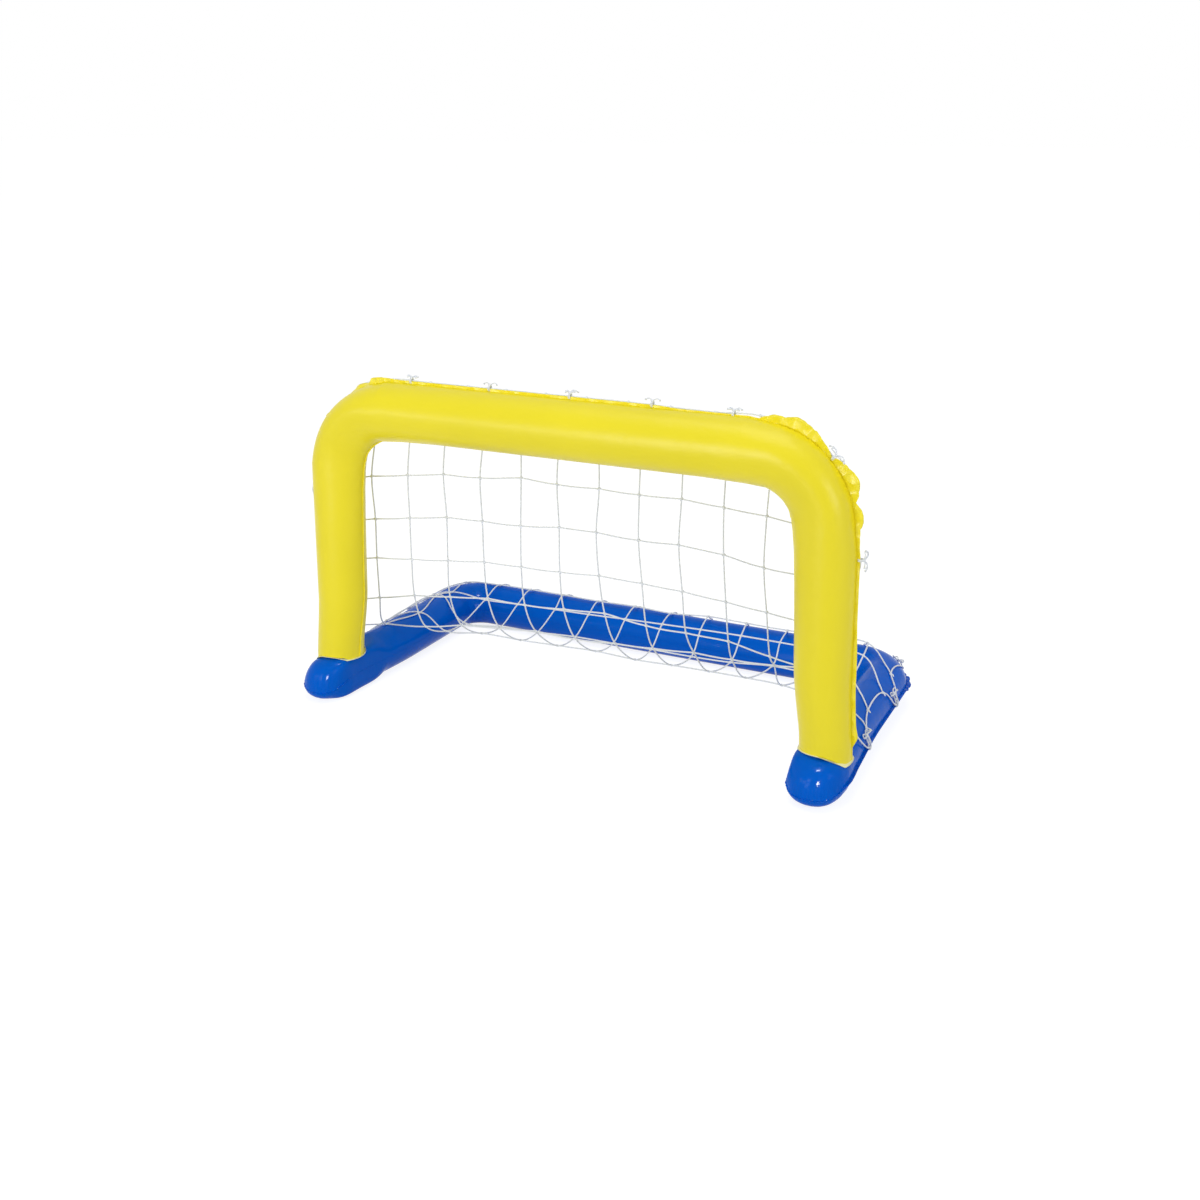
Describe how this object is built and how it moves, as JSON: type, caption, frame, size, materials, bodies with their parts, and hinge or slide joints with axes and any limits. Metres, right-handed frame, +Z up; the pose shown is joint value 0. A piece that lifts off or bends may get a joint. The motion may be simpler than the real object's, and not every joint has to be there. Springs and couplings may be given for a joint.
{
  "type": "inflatable water polo goal",
  "caption": "Inflatable water polo goal: yellow arch on a blue U-shaped base tube, white knotted net tied to the welded rims, two push-in valves.",
  "frame": {"origin": "centre of the footprint's bounding box, at the level of the surface it stands on", "axes": "+X along the crossbar to the right as seen from the front, +Y from the mouth towards the rear bar, +Z up"},
  "size_m": [1.4308, 0.8068, 0.8474],
  "materials": {
    "yellow_vinyl": "gloss",
    "blue_vinyl": "gloss",
    "clear_vinyl": "satin",
    "white_cord": "matte"
  },
  "bodies": {
    "goal": {"arch_front_sheet": "yellow_vinyl", "arch_back_sheet": "yellow_vinyl", "left_post_end_patch": "yellow_vinyl", "right_post_end_patch": "yellow_vinyl", "base_top_sheet": "blue_vinyl", "base_bottom_sheet": "blue_vinyl", "arch_valve_seat": "yellow_vinyl", "base_valve_seat": "blue_vinyl", "net_top_strip": "white_cord", "net_upper_panel": "white_cord", "net_middle_panel": "white_cord", "net_lower_panel": "white_cord", "net_rear_panel": "white_cord", "net_left_post_edge": "white_cord", "net_left_arm_edge": "white_cord", "net_right_post_edge": "white_cord", "net_right_arm_edge": "white_cord", "tie_crossbar_1": "white_cord", "tie_crossbar_2": "white_cord", "tie_crossbar_3": "white_cord", "tie_crossbar_4": "white_cord", "tie_crossbar_5": "white_cord", "tie_rear_bar_1": "white_cord", "tie_rear_bar_2": "white_cord", "tie_rear_bar_3": "white_cord", "tie_rear_bar_4": "white_cord", "tie_rear_bar_5": "white_cord", "tie_left_arch_corner": "white_cord", "tie_right_arch_corner": "white_cord", "tie_left_post": "white_cord", "tie_right_post": "white_cord", "tie_left_base_corner": "white_cord", "tie_right_base_corner": "white_cord", "tie_left_arm_1": "white_cord", "tie_left_arm_2": "white_cord", "tie_right_arm_1": "white_cord", "tie_right_arm_2": "white_cord"},
    "arch_stem": {"arch_valve_stem": "clear_vinyl"},
    "arch_stopper": {"arch_valve_stopper": "clear_vinyl"},
    "arch_flap": {"arch_valve_flap": "clear_vinyl"},
    "base_stem": {"base_valve_stem": "clear_vinyl"},
    "base_stopper": {"base_valve_stopper": "clear_vinyl"},
    "base_flap": {"base_valve_flap": "clear_vinyl"}
  },
  "joints": [
    {"name": "arch_stem_slide", "type": "slide", "parent": "goal", "child": "arch_stem", "axis": [0, 1, 0], "range_m": [0, 0.0088]},
    {"name": "arch_stopper_hinge", "type": "hinge", "parent": "arch_stem", "child": "arch_stopper", "pos_m": [0.6135, -0.21576, 0.315], "axis": [0, 0, 1], "range_deg": [0, 150]},
    {"name": "arch_flap_hinge", "type": "hinge", "parent": "arch_stem", "child": "arch_flap", "pos_m": [0.6212, -0.24681, 0.315], "axis": [0, 0, -1], "range_deg": [0, 60], "stiffness_Nm_per_rad": 0.0002, "springref_deg": -9.74},
    {"name": "base_stem_slide", "type": "slide", "parent": "goal", "child": "base_stem", "axis": [0, 0.7071, 0.7071], "range_m": [0, 0.0088]},
    {"name": "base_stopper_hinge", "type": "hinge", "parent": "base_stem", "child": "base_stopper", "pos_m": [0.06095, 0.35004, 0.10815], "axis": [1, 0, 0], "range_deg": [0, 150]},
    {"name": "base_flap_hinge", "type": "hinge", "parent": "base_stem", "child": "base_flap", "pos_m": [0.06095, 0.33353, 0.08075], "axis": [-1, 0, 0], "range_deg": [0, 60], "stiffness_Nm_per_rad": 0.0002, "springref_deg": -9.74}
  ]
}
